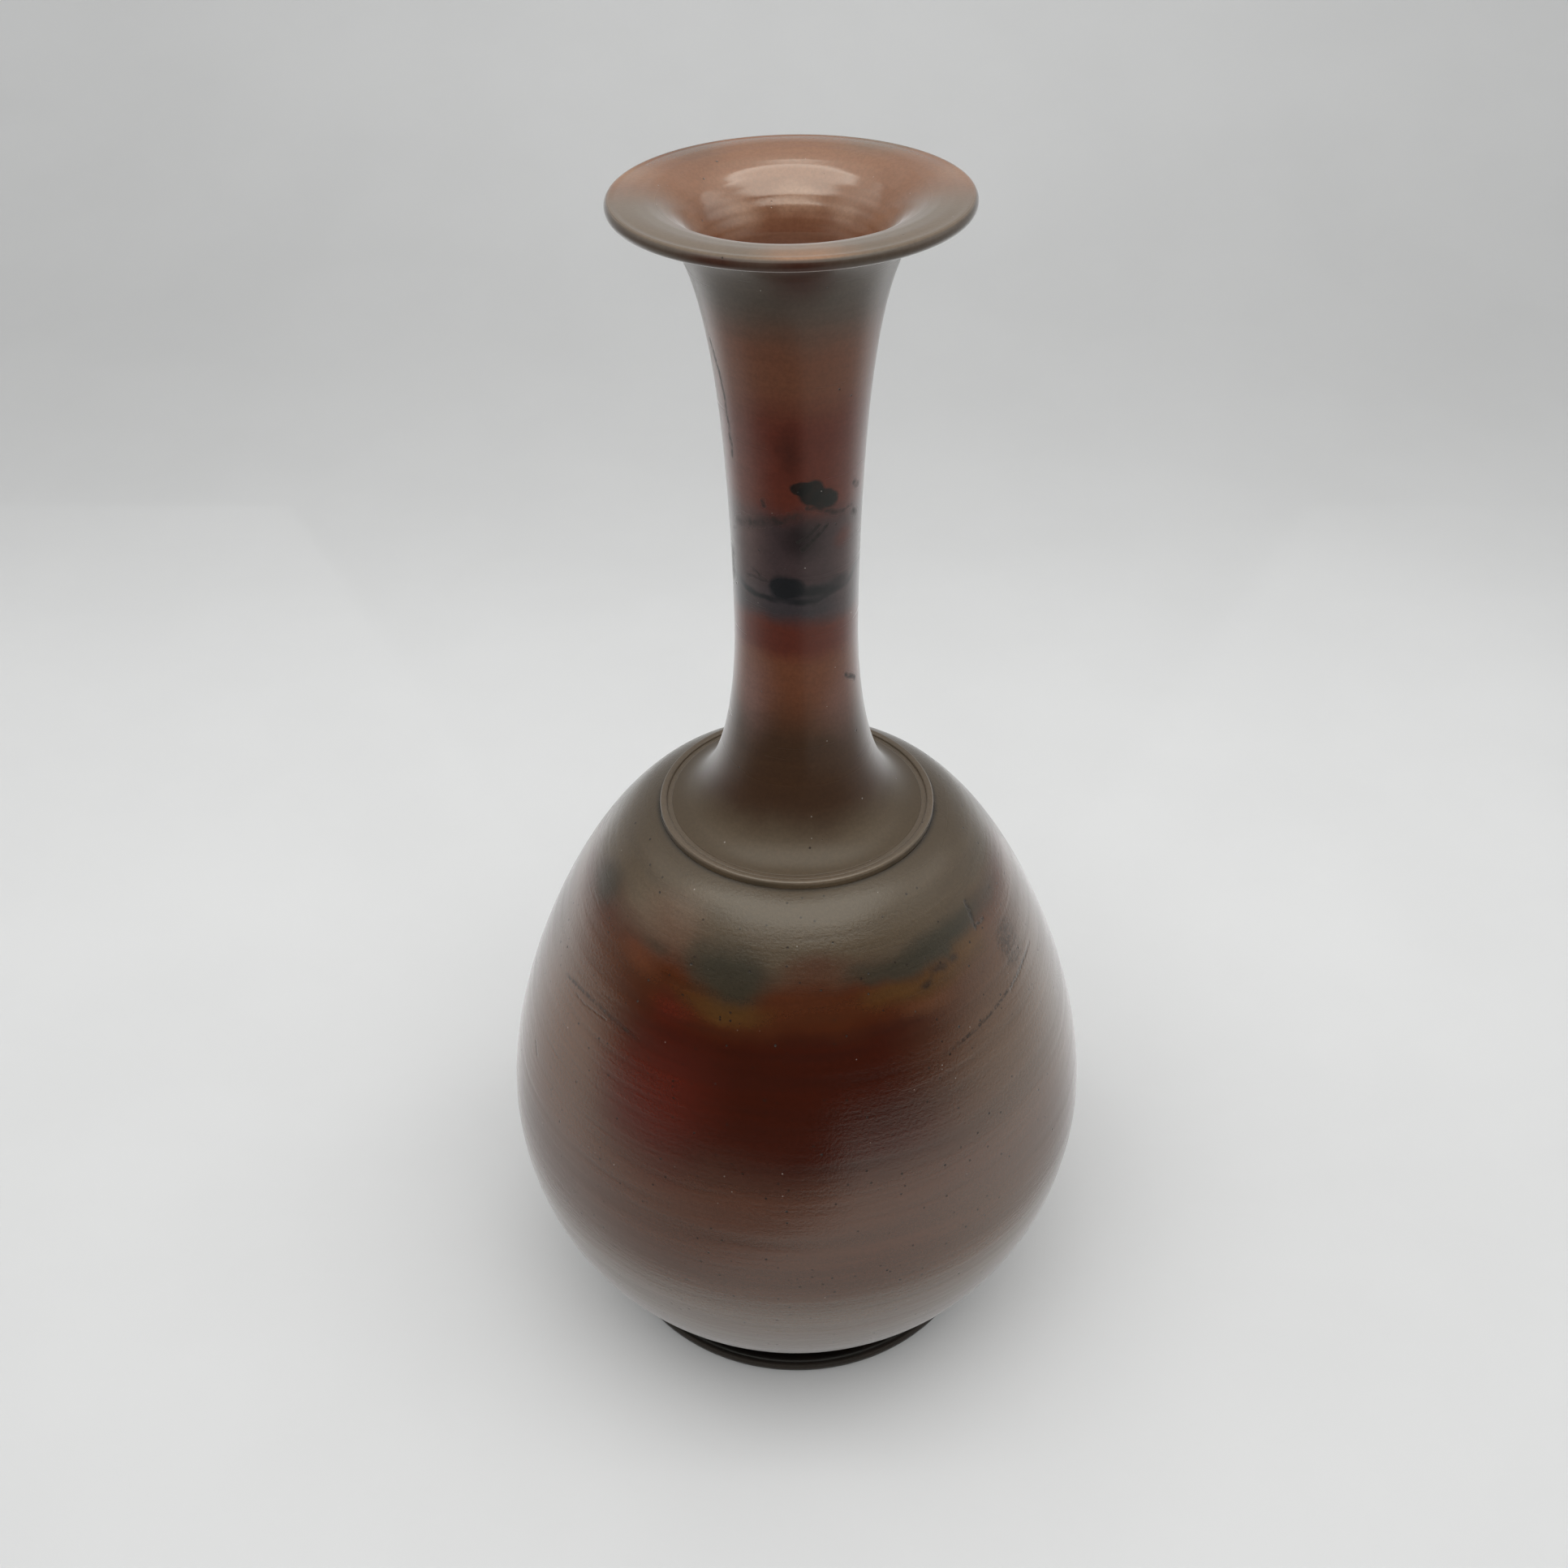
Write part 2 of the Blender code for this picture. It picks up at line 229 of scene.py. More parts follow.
class ClayColours(bpy.types.PropertyGroup):
    """Colours of the fired clay, of the marks that the kiln left on it, and of painted shade, sheen and
    highlight.
    """

    deep_red: clay_colour("Deep red", "Iron-red clay at the belly", 0.037, 0.0064, 0.0026)
    crimson: clay_colour("Crimson", "Brighter red on the left of the belly", 0.077, 0.0108, 0.0056)
    tan: clay_colour("Tan", "Warm brown of the upper neck", 0.116, 0.039, 0.018)
    flank: clay_colour("Flank brown", "Browner clay on the sides of the belly", 0.105, 0.042, 0.018)
    right_flank: clay_colour("Right flank", "Greyer clay on the right of the belly", 0.098, 0.050, 0.027)
    red_brown: clay_colour("Red brown", "Clay under the smoked shoulder", 0.064, 0.0165, 0.005)
    low_brown: clay_colour("Low brown", "Paler clay above the foot", 0.078, 0.043, 0.028)
    blue_grey: clay_colour("Blue grey", "Halo of the soot on the neck", 0.032, 0.025, 0.028)
    # The next colour is painted shade under the front of the lip.
    lip_shade_red: clay_colour("Dark red", "Dark clay under the lip", 0.040, 0.010, 0.0045)
    smoke_grey: clay_colour("Smoke grey", "Smoked clay under the lip", 0.062, 0.045, 0.033)
    # The next colour is pale haze with painted sheen along the sides of the neck.
    haze: clay_colour("Haze", "Pale smoke haze along the sides of the neck", 0.150, 0.080, 0.068)
    purple_black: clay_colour("Purple black", "Smeared soot on the neck", 0.010, 0.005, 0.006)
    green_black: clay_colour("Green black", "Scorched patch on the neck", 0.004, 0.004, 0.0035)
    brown_red: clay_colour("Brown red", "Duller red toward the foot", 0.069, 0.0245, 0.013)
    ochre: clay_colour("Ochre", "Halo under the smoked shoulder", 0.076, 0.034, 0.0085)
    olive: clay_colour("Smoked olive", "Smoked clay of the shoulder", 0.076, 0.052, 0.030)
    slate: clay_colour("Slate", "Blue-grey clouds below the shoulder", 0.033, 0.0275, 0.017)
    rose_brown: clay_colour("Rose brown", "Red-brown clay of the neck", 0.083, 0.0145, 0.0065)
    orange_brown: clay_colour("Orange brown", "Warm clay above the skirt", 0.112, 0.035, 0.014)
    umber: clay_colour("Umber", "Dark clay of the skirt", 0.043, 0.0195, 0.009)
    plum: clay_colour("Plum grey", "Grey-purple haze on the neck", 0.040, 0.024, 0.025)
    soot: clay_colour("Soot", "Blue-black soot on the neck", 0.006, 0.007, 0.009)
    copper: clay_colour("Copper", "Pink copper lining of the mouth", 0.235, 0.106, 0.055)
    khaki: clay_colour("Khaki", "Smoked lip", 0.160, 0.118, 0.082)
    rose_tan: clay_colour("Rose tan", "Warm patch on the front of the lip", 0.310, 0.165, 0.092)
    # The next colour is a pale film inside the mouth and a painted highlight on its lining.
    deposit_and_highlight: clay_colour("Deposit", "Pale film that water left inside the mouth", 0.520, 0.330, 0.220)
    foot_brown: clay_colour("Foot brown", "Dark clay of the foot ring", 0.021, 0.016, 0.0125)
    # The next colour is painted shade in the foot's cove.
    cove_shade_black: clay_colour("Foot black", "Sooted clay in the foot's cove", 0.004, 0.003, 0.003)
    slip: clay_colour("Slip", "Luting slip in the joints", 0.160, 0.090, 0.065)
    dust: clay_colour("Dust", "Pale specks on the clay", 0.420, 0.380, 0.340)


class StudioStage(bpy.types.PropertyGroup):
    """Camera, paper sweep and soft light."""

    eye: FloatVectorProperty(name="Eye", description="Where the camera stands", subtype="XYZ",
                             unit="LENGTH", default=(0.0, -0.2795, 0.3531))
    pitch: FloatProperty(name="Pitch", description="How far the camera looks down",
                         default=math.radians(37.5), subtype="ANGLE")
    focal: FloatProperty(name="Focal length", description="Focal length in image pixels",
                         default=2124.0)
    offset: FloatProperty(name="Offset", description="Axis right of the image centre, in pixels",
                          default=15.8)
    paper: clay_colour("Paper", "Floor and backdrop", 0.78, 0.785, 0.78)
    sky: clay_colour("Room light", "Even light from the room", 0.64, 0.645, 0.65)
    ceiling: FloatProperty(name="Ceiling", description="Radiance of the soft ceiling",
                           default=0.92, min=0.0)
    softbox: FloatProperty(name="Softbox", description="Radiance that the softbox adds to the ceiling",
                           default=1.45, min=0.0)


def meridian(node):
    """The (radius, height) points of a turned CAD node, in order along its profile."""
    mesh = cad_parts[node].data
    joined = {}
    for edge in mesh.edges:
        ends = []
        for index in edge.vertices:
            spot = mesh.vertices[index].co
            if abs(spot.y) < FLAT and spot.x > -FLAT:
                ends.append((round(abs(spot.x), 6), round(spot.z, 6)))
        if len(ends) == 2 and ends[0] != ends[1]:
            joined.setdefault(ends[0], set()).add(ends[1])
            joined.setdefault(ends[1], set()).add(ends[0])
    loose = [point for point in joined if len(joined[point]) == 1]
    path = [min(loose or joined)]
    onward = True
    while onward:
        onward = sorted(point for point in joined[path[-1]] if point not in path)
        path.extend(onward[:1])
    if len(path) != len(joined):
        raise RuntimeError(f"the profile of {node} isn't one line")
    points = np.array(path)
    if loose:
        points = np.concatenate([[(0.0, path[0][1])], points, [(0.0, path[-1][1])]])
    ahead = np.roll(points, -1, axis=0)
    if np.sum(points[:, 0] * ahead[:, 1] - ahead[:, 0] * points[:, 1]) < 0.0:
        points = points[::-1]
    return points, not loose


def flowing(points, step):
    """A smooth curve through the points, drawn again with about the given spacing."""
    points = np.asarray(points)
    gaps = np.linalg.norm(np.diff(points, axis=0), axis=1)
    runs = np.diff(points, axis=0) / gaps[:, None]
    count = len(points)
    if count == 2:
        slopes = np.repeat(runs, 2, axis=0)
    else:
        matrix = np.eye(count)
        wanted = np.zeros((count, 2))
        wanted[0] = runs[0] + (runs[0] - runs[1]) * gaps[0] / (gaps[0] + gaps[1])
        wanted[-1] = runs[-1] + (runs[-1] - runs[-2]) * gaps[-1] / (gaps[-1] + gaps[-2])
        for i in range(1, count - 1):
            matrix[i, i - 1:i + 2] = gaps[i], 2.0 * (gaps[i - 1] + gaps[i]), gaps[i - 1]
            wanted[i] = 3.0 * (gaps[i] * runs[i - 1] + gaps[i - 1] * runs[i])
        slopes = np.linalg.solve(matrix, wanted)
    drawn = []
    for i in range(count - 1):
        t = np.linspace(0.0, 1.0, max(2, math.ceil(gaps[i] / step)), endpoint=False)[:, None]
        drawn.append((2 * t**3 - 3 * t**2 + 1) * points[i] + (3 * t**2 - 2 * t**3) * points[i + 1]
                     + gaps[i] * ((t**3 - 2 * t**2 + t) * slopes[i] + (t**3 - t**2) * slopes[i + 1]))
    drawn.append(points[-1:])
    return np.concatenate(drawn)


def shortened(line, reach):
    """The line with its first part, up to the given reach, cut off."""
    along = np.concatenate([[0.0], np.cumsum(np.linalg.norm(np.diff(line, axis=0), axis=1))])
    reach = min(reach, 0.4 * along[-1])
    cut = [np.interp(reach, along, line[:, axis]) for axis in (0, 1)]
    return np.concatenate([[cut], line[along > reach + FLAT]])


def turned_profile(node, step, edge):
    """A CAD node's profile with smooth curves and softly rounded edges."""
    points, closed = meridian(node)
    back = points - np.roll(points, 1, axis=0)
    ahead = np.roll(points, -1, axis=0) - points
    bend = np.arctan2(back[:, 0] * ahead[:, 1] - back[:, 1] * ahead[:, 0], np.sum(back * ahead, axis=1))
    corners = [i for i in range(len(points)) if abs(bend[i]) > SHARP]
    if closed:
        points = np.roll(points, -corners[0], axis=0)
        corners = [i - corners[0] for i in corners] + [len(points)]
        points = np.concatenate([points, points[:1]])
    else:
        corners = sorted({0, 1, len(points) - 2, len(points) - 1, *corners})
    spans = [flowing(points[a:b + 1], step * (DISC_STEP if points[a:b + 1, 0].min() < FLAT else 1))
             for a, b in zip(corners, corners[1:])]
    tips = [points[i] for i in corners]
    eased = []
    for i, span in enumerate(spans):
        if closed or i > 0:
            span = shortened(span, edge)
        if closed or i < len(spans) - 1:
            span = shortened(span[::-1], edge)[::-1]
        eased.append(span)
    line = [eased[0]]
    for i in range(1, len(eased) + closed):
        start, tip, end = eased[i - 1][-1], tips[i], eased[i % len(eased)][0]
        t = np.linspace(0.0, 1.0, EDGE_ROWS + 2)[1:-1, None]
        line.append((1 - t)**2 * start + 2 * t * (1 - t) * tip + t**2 * end)
        if i < len(eased):
            line.append(eased[i])
    return np.concatenate(line), closed


def outer_radius(profile, height):
    """The widest radius of a profile at a height."""
    a, b = profile[:-1], profile[1:]
    crossing = (a[:, 1] - height) * (b[:, 1] - height) <= 0.0
    return float(np.max(np.where(crossing, np.maximum(a[:, 0], b[:, 0]), 0.0)))


def ripples(seed, theta, along, pitch):
    """Uneven ripples that run round a turned wall, from -1 to 1."""
    draw = np.random.default_rng(seed)
    total = np.zeros((along.shape[0], theta.shape[1]))
    waves = 6
    for _ in range(waves):
        wave = 2.0 * math.pi * along / (pitch * draw.uniform(0.6, 2.6))
        drift = draw.uniform(0.3, 1.6) * np.sin(theta * draw.integers(1, 4) + draw.uniform(0.0, 6.3))
        total += np.sin(wave + drift + draw.uniform(0.0, 6.3)) / waves
    return total


def turn(name, profile, closed, turns, relief=None, shift=None):
    """A turned mesh, with relief along its normals and a shift of its points."""
    step = np.gradient(profile, axis=0)
    span = np.linalg.norm(step, axis=1)
    normal = np.stack([step[:, 1], -step[:, 0]], axis=1) / np.maximum(span, 1e-12)[:, None]
    along = np.cumsum(span)[:, None]
    theta = np.linspace(0.0, 2.0 * math.pi, turns, endpoint=False)[None, :]
    radius, height = profile[:, :1], profile[:, 1:]
    lift = relief(theta, along, radius, height) if relief else 0.0
    r = radius + lift * normal[:, :1] + 0.0 * theta
    z = height + lift * normal[:, 1:] + 0.0 * theta
    x, y = r * np.sin(theta), -r * np.cos(theta)
    if shift:
        x, y, z = shift(x, y, z)
    rows = len(profile)
    points = np.stack([x, y, z], axis=2).reshape(-1, 3)
    faces = []
    for i in range(rows - 1 + closed):
        lower, upper = i * turns, (i + 1) % rows * turns
        for j in range(turns):
            k = (j + 1) % turns
            faces.append((lower + j, lower + k, upper + k, upper + j))
    piece = new_object(name, points.tolist(), faces)
    weld(piece.data)
    smooth(piece.data)
    return piece


def new_object(name, points, faces):
    """A new mesh object in the scene."""
    mesh = bpy.data.meshes.new(name)
    mesh.from_pydata(points, [], faces)
    made = bpy.data.objects.new(name, mesh)
    bpy.context.scene.collection.objects.link(made)
    return made


def smooth(mesh):
    mesh.polygons.foreach_set("use_smooth", np.ones(len(mesh.polygons), dtype=bool))


def weld(mesh):
    """Joins the points that meet on the axis and drops faces that have no area."""
    form = bmesh.new()
    form.from_mesh(mesh)
    bmesh.ops.remove_doubles(form, verts=form.verts, dist=FLAT)
    bmesh.ops.dissolve_degenerate(form, edges=form.edges, dist=0.1 * FLAT)
    bmesh.ops.recalc_face_normals(form, faces=form.faces)
    form.to_mesh(mesh)
    form.free()


def join(node, sockets):
    """Joins values to a node's sockets, or fills them in."""
    for socket, value in sockets.items():
        if isinstance(value, bpy.types.NodeSocket):
            node.id_data.links.new(value, node.inputs[socket])
        else:
            node.inputs[socket].default_value = value


def place(kind, sockets, **options):
    """Adds a node to the tree that its values come from, and gives its outputs."""
    tree = next(value.id_data for value in sockets.values() if isinstance(value, bpy.types.NodeSocket))
    node = tree.nodes.new("ShaderNode" + kind)
    for option, value in options.items():
        setattr(node, option, value)
    join(node, sockets)
    return node.outputs


def reckon(operation, a, b=0.0, c=0.0):
    return place("Math", {0: a, 1: b, 2: c}, operation=operation)[0]


def times(a, b):
    return reckon("MULTIPLY", a, b)


def plus(a, b):
    return reckon("ADD", a, b)


def reckon_vector(operation, a, b=ORIGIN):
    return place("VectorMath", {0: a, 1: b}, operation=operation)[0]


def measure(operation, a, b=ORIGIN):
    """The number that a vector operation gives, such as a length or a dot product."""
    return place("VectorMath", {0: a, 1: b}, operation=operation)["Value"]


def scaled(vector, share):
    return place("VectorMath", {0: vector, "Scale": share}, operation="SCALE")[0]


def axes_of(point):
    return place("SeparateXYZ", {0: point})


def reach_of(point):
    """How far a point is from the axis."""
    return measure("LENGTH", reckon_vector("MULTIPLY", point, (1.0, 1.0, 0.0)))


def noise(point, scale, detail, roughness=0.5, seed=None):
    """Noise over the points, another one for each seed."""
    sockets = {"Vector": point, "Scale": scale, "Detail": detail, "Roughness": roughness}
    if seed is None:
        return place("TexNoise", sockets)
    return place("TexNoise", {**sockets, "W": seed}, noise_dimensions="4D")


def fade(value, start, end, low=0.0, high=1.0):
    """Runs smoothly from low at start to high at end."""
    sockets = {"Value": value, "From Min": start, "From Max": end, "To Min": low, "To Max": high}
    return place("MapRange", sockets, interpolation_type="SMOOTHSTEP")[0]


def stain(under, over, mask):
    """Lays one colour over another where the mask is white."""
    return place("Mix", {0: mask, 6: under, 7: over}, data_type="RGBA")[2]


def effect(name, inputs, outputs):
    """A new shader node group, the values that it is given and the node that sends its own out."""
    tree = bpy.data.node_groups.new(name, "ShaderNodeTree")
    for label, default in inputs.items():
        kind = "NodeSocketVector" if isinstance(default, tuple) else "NodeSocketFloat"
        tree.interface.new_socket(label, in_out="INPUT", socket_type=kind).default_value = default
    for label in outputs:
        kind = "NodeSocketVector" if label == "Point" else "NodeSocketFloat"
        tree.interface.new_socket(label, in_out="OUTPUT", socket_type=kind)
    return tree, tree.nodes.new("NodeGroupInput").outputs, tree.nodes.new("NodeGroupOutput")


def wandering_clay():
    """Points that wander from their place, for the soft edges of fire marks."""
    inputs = {"Point": ORIGIN, "Scale": 40.0, "Amount": 0.002, "Seed": 0.0}
    tree, given, out = effect("Wandering clay", inputs, ["Point"])
    drift = noise(given["Point"], given["Scale"], 3.0, 0.55, given["Seed"])["Color"]
    centred = reckon_vector("SUBTRACT", drift, (0.5, 0.5, 0.5))
    moved = scaled(centred, times(given["Amount"], WANDER_SPREAD))
    join(out, {"Point": reckon_vector("ADD", given["Point"], moved)})
    return tree


def kiln_cloud():
    """A soft patch round a point, where the fire darkened or lightened the clay."""
    inputs = {"Point": ORIGIN, "Centre": ORIGIN, "Reach": (0.01, 0.01, 0.01), "Edge": 0.7, "Strength": 1.0}
    tree, given, out = effect("Kiln cloud", inputs, ["Mask"])
    away = reckon_vector("SUBTRACT", given["Point"], given["Centre"])
    distance = measure("LENGTH", reckon_vector("DIVIDE", away, given["Reach"]))
    mask = fade(distance, 1.0, reckon("SUBTRACT", 1.0, given["Edge"]))
    join(out, {"Mask": times(mask, given["Strength"])})
    return tree


def turning_marks():
    """Streaks and fine lines that run round the axis, from throwing and burnishing."""
    inputs = {"Point": ORIGIN, "Pitch": 300.0, "Seed": 0.0}
    tree, given, out = effect("Turning marks", inputs, ["Streaks", "Lines"])
    flat = reckon_vector("MULTIPLY", given["Point"], (0.05, 0.05, 1.0))
    fine = times(given["Pitch"], 3.0)
    for label, pitch, roughness in (("Streaks", given["Pitch"], 0.6), ("Lines", fine, 0.7)):
        marks = noise(flat, pitch, 2.0, roughness, given["Seed"])[0]
        join(out, {label: fade(marks, 0.3, 0.7)})
    return tree


def pits_and_dust():
    """Small open pits in the burnished skin and pale specks of dust on it."""
    inputs = {"Point": ORIGIN, "Pit Density": 0.05, "Dust Density": 0.05}
    tree, given, out = effect("Pits and dust", inputs, ["Pits", "Dust", "Grain"])
    grain = noise(given["Point"], GRAIN_SCALE, 4.0, 0.65)[0]
    join(out, {"Grain": fade(grain, 0.3, 0.7)})
    for label, density, scale, size in (("Pits", "Pit Density", PIT_SCALE, 0.10),
                                        ("Dust", "Dust Density", DUST_SCALE, 0.11)):
        cells = place("TexVoronoi", {"Vector": given["Point"], "Scale": scale})
        chosen = place("SeparateColor", {"Color": cells["Color"]})
        picked = reckon("LESS_THAN", chosen[0], given[density])
        wide = reckon("MULTIPLY_ADD", chosen[1], size, 0.4 * size)
        dot = fade(cells["Distance"], wide, times(wide, 0.5))
        join(out, {label: times(dot, picked)})
    return tree


def scratch():
    """A thin mark between two points of the surface."""
    inputs = {"Point": ORIGIN, "Start": ORIGIN, "End": (0.0, 0.0, 0.01), "Facing": (0.0, 0.0, 1.0),
              "Width": 0.0003}
    tree, given, out = effect("Scratch", inputs, ["Mask"])
    away = reckon_vector("SUBTRACT", given["Point"], given["Start"])
    run = reckon_vector("SUBTRACT", given["End"], given["Start"])
    shares = {0: measure("DOT_PRODUCT", away, run), 1: measure("DOT_PRODUCT", run, run)}
    share = place("Math", shares, operation="DIVIDE", use_clamp=True)[0]
    off = reckon_vector("SUBTRACT", away, scaled(run, share))
    off = reckon_vector("SUBTRACT", off, reckon_vector("PROJECT", off, given["Facing"]))
    line = fade(measure("LENGTH", off), given["Width"], 0.0)
    broken = fade(noise(given["Point"], 1400.0, 2.0)[0], 0.36, 0.56, 0.3, 1.0)
    join(out, {"Mask": times(line, broken)})
    return tree


EFFECTS = {
    "Wandering clay": wandering_clay,
    "Kiln cloud": kiln_cloud,
    "Turning marks": turning_marks,
    "Pits and dust": pits_and_dust,
    "Scratch": scratch,
}


def apply(name, sockets):
    """Places a shared effect in a material and gives its outputs."""
    group = bpy.data.node_groups.get(name) or EFFECTS[name]()
    return place("Group", sockets, node_tree=group)


def new_finish(name, roughness, ior):
    """A new material and its shader, with the constants set on the shader."""
    material = bpy.data.materials.new(name)
    material.use_nodes = True
    shader = material.node_tree.nodes["Principled BSDF"]
    join(shader, {"Roughness": roughness, "IOR": ior})
    return material, shader


def clay_finish(name, ior, sheen):
    """A new clay material and its shader, with a slightly warm gloss."""
    material, shader = new_finish(name, 0.2, ior)
    soften(shader, sheen)
    return material, shader


def soften(shader, sheen):
    """Sets the warm gloss of clay and the soft light along its rims."""
    join(shader, {"Specular Tint": WARM_GLOSS, "Sheen Weight": sheen, "Sheen Roughness": 0.3})


def smoked_skin(shader, smoke, ior, sheen):
    """Adds the duller shader of smoked clay, which shows where the mask is white."""
    nodes = shader.id_data.nodes
    smoked = nodes.new("ShaderNodeBsdfPrincipled")
    join(smoked, {"IOR": ior})
    soften(smoked, sheen)
    mixed = place("MixShader", {0: smoke, 1: shader.outputs[0], 2: smoked.outputs[0]})
    join(nodes["Material Output"], {"Surface": mixed[0]})
    return smoked


def object_point(shader):
    return shader.id_data.nodes.new("ShaderNodeTexCoord").outputs["Object"]


def facing_of(point):
    return point.id_data.nodes.new("ShaderNodeNewGeometry").outputs["Normal"]


def wander(point, scale, amount, seed):
    sockets = {"Point": point, "Scale": scale, "Amount": amount, "Seed": seed}
    return apply("Wandering clay", sockets)["Point"]


def tone_by_height(point, tints, bands):
    """A colour for each height, from (tint, lowest mm, highest mm) bands that blend into each other."""
    stops = [(height, getattr(tints, tint)) for tint, *ends in bands for height in ends]
    low, high = stops[0][0], stops[-1][0]
    sockets = {"Value": axes_of(point)["Z"], "From Min": low * MM, "From Max": high * MM}
    ramp = place("ValToRGB", {0: place("MapRange", sockets)[0]})[0].node
    ramp.color_ramp.interpolation = "EASE"
    bars = ramp.color_ramp.elements
    while len(bars) < len(stops):
        bars.new(0.5)
    for bar, (millimetres, colour) in zip(bars, stops):
        bar.position = (millimetres - low) / (high - low)
        bar.color = colour
    return ramp.outputs["Color"]


def on_wall(profile, angle, millimetres):
    """The point of a turned wall at an angle from the front and a height."""
    radius = outer_radius(profile, millimetres * MM)
    turned = math.radians(angle)
    return Vector((radius * math.sin(turned), -radius * math.cos(turned), millimetres * MM))


def lay_clouds(colour, point, profile, tints, clouds):
    """Lays clouds of named tints, each one (angle, height, across, up, edge, strength)."""
    for tint, patches in clouds:
        for angle, height, across, up, edge, strength in patches:
            mask = apply("Kiln cloud", {
                "Point": point, "Centre": on_wall(profile, angle, height),
                "Reach": (across * MM, across * MM, up * MM), "Edge": edge, "Strength": strength})["Mask"]
            colour = stain(colour, getattr(tints, tint), mask)
    return colour


def lay_scratches(colour, point, profile, marks, over):
    """Lays thin marks given as (angle, height, angle, height, width in mm, strength), and their wear."""
    wear = 0.0
    facing = facing_of(point)
    for angle, height, angle_end, height_end, width, strength in marks:
        mark = apply("Scratch", {
            "Point": point, "Start": on_wall(profile, angle, height),
            "End": on_wall(profile, angle_end, height_end), "Facing": facing, "Width": width * MM})
        mask = times(mark["Mask"], strength)
        colour = stain(colour, over, mask)
        wear = reckon("MAXIMUM", wear, mask)
    return colour, wear


def finish_skin(shaders, colour, point, dust, skin, wear=0.0, grooves=0.0):
    """Adds turning marks, pits and dust, and joins colour and gloss to the shaders."""
    marks = apply("Turning marks", {"Point": point, "Pitch": skin.pitch, "Seed": skin.seed})
    specks = apply("Pits and dust",
                   {"Point": point, "Pit Density": skin.pits, "Dust Density": skin.dust})
    upward = reckon("ABSOLUTE", axes_of(facing_of(point))["Z"])
    lines = times(marks["Lines"], fade(upward, 0.92, 0.7))
    streaks = times(marks["Streaks"], fade(upward, 0.97, 0.8))
    contrast = 0.03 + 0.04 * skin.ridges
    shade = fade(streaks, 0.0, 1.0, 1.0 - contrast, 1.0 + contrast)
    for mask, swing in ((lines, 0.7 * contrast), (specks["Grain"], GRAIN_SWING)):
        shade = times(shade, fade(mask, 0.0, 1.0, 1.0 - swing, 1.0 + swing))
    colour = scaled(colour, shade)
    colour = stain(colour, PIT_TONE, times(specks["Pits"], PIT_STAIN))
    colour = stain(colour, dust, times(specks["Dust"], DUST_STAIN))
    roughness = fade(streaks, 0.0, 1.0, skin.rough, skin.smooth)
    worn = plus(specks["Pits"], wear)
    roughness = plus(roughness, times(worn, WORN_ROUGHNESS))
    hollows = times(plus(specks["Pits"], grooves), HOLLOW_DEPTH)
    relief = reckon("SUBTRACT", times(streaks, skin.ridges), hollows)
    relief = plus(relief, times(lines, 0.35 * skin.ridges))
    relief = plus(relief, times(specks["Grain"], 0.06 + 0.44 * skin.ridges))
    bump = place("Bump", {"Height": relief, "Strength": 0.3, "Distance": 0.12 * MM})[0]
    for shader, duller in shaders:
        join(shader, {"Base Color": colour, "Roughness": plus(roughness, duller), "Normal": bump})


def worn_line(point, first, middle, last):
    """A thin line on the plane through three points of the wall, fading out from the middle one."""
    across = (middle - first).cross(last - first).normalized()
    away = reckon_vector("SUBTRACT", point, middle)
    off = reckon("ABSOLUTE", measure("DOT_PRODUCT", away, across))
    near = measure("LENGTH", away)
    reach = max((first - middle).length, (last - middle).length)
    return times(fade(off, 0.6 * MM, 0.15 * MM), fade(near, reach, 0.7 * reach))


def worn_spots(point, profile):
    """Pits and three long hairlines where the burnish is worn off the body."""
    cells = place("TexVoronoi", {"Vector": point, "Scale": PIT_SCALE})
    chosen = place("SeparateColor", {"Color": cells["Color"]})[0]
    picked = reckon("LESS_THAN", chosen, 0.5)
    worn = times(fade(cells["Distance"], 0.15, 0.08), picked)
    broken = fade(noise(point, 1100.0, 2.0)[0], 0.4, 0.58, 0.2, 0.9)
    for spots in WORN_LINES:
        line = worn_line(point, *[on_wall(profile, angle, height) for angle, height in spots])
        worn = reckon("MAXIMUM", worn, times(line, broken))
    return worn


def burnished_red_clay(tints, profile):
    """The body: iron-red below, smoked olive above, with a clouded line between."""
    material, shader = clay_finish("burnished_red_clay", 1.82, 0.25)
    point = object_point(shader)
    broad = wander(point, 42.0, 0.0026, 1.0)
    ragged = wander(broad, 190.0, 0.0005, 2.0)
    colour = tone_by_height(ragged, tints, BODY_BANDS)
    colour = lay_clouds(colour, ragged, profile, tints, BODY_CLOUDS)
    crisp = wander(point, 320.0, 0.0003, 9.0)
    colour, wear = lay_scratches(colour, crisp, profile, BODY_MARKS, BODY_MARK_TONE)
    # Painted shade: the body is darkened in a ring just outside the bead, where the bead's shadow falls.
    crease = fade(reach_of(point), SEAM_RADIUS + 1.5 * MM, SEAM_RADIUS + 0.3 * MM, 0.0, 0.75)
    height = axes_of(point)["Z"]
    crease = times(crease, fade(height, 131.0 * MM, 132.0 * MM))
    colour = stain(colour, CREASE_SHADE_TONE, crease)
    worn = worn_spots(point, profile)
    colour = stain(colour, WORN_TONE, times(worn, 0.85))
    patchy = reckon("SUBTRACT", noise(point, 42.0, 3.0)[0], 0.5)
    risen = plus(times(patchy, 20.0 * MM), height)
    smoke = reckon("MAXIMUM", fade(risen, 117.0 * MM, 126.0 * MM), worn)
    smoked = smoked_skin(shader, smoke, 1.55, 0.6)
    finish_skin([(shader, 0.0), (smoked, 0.1)], colour, point, tints.dust, BODY_SKIN, wear, wear)
    return material


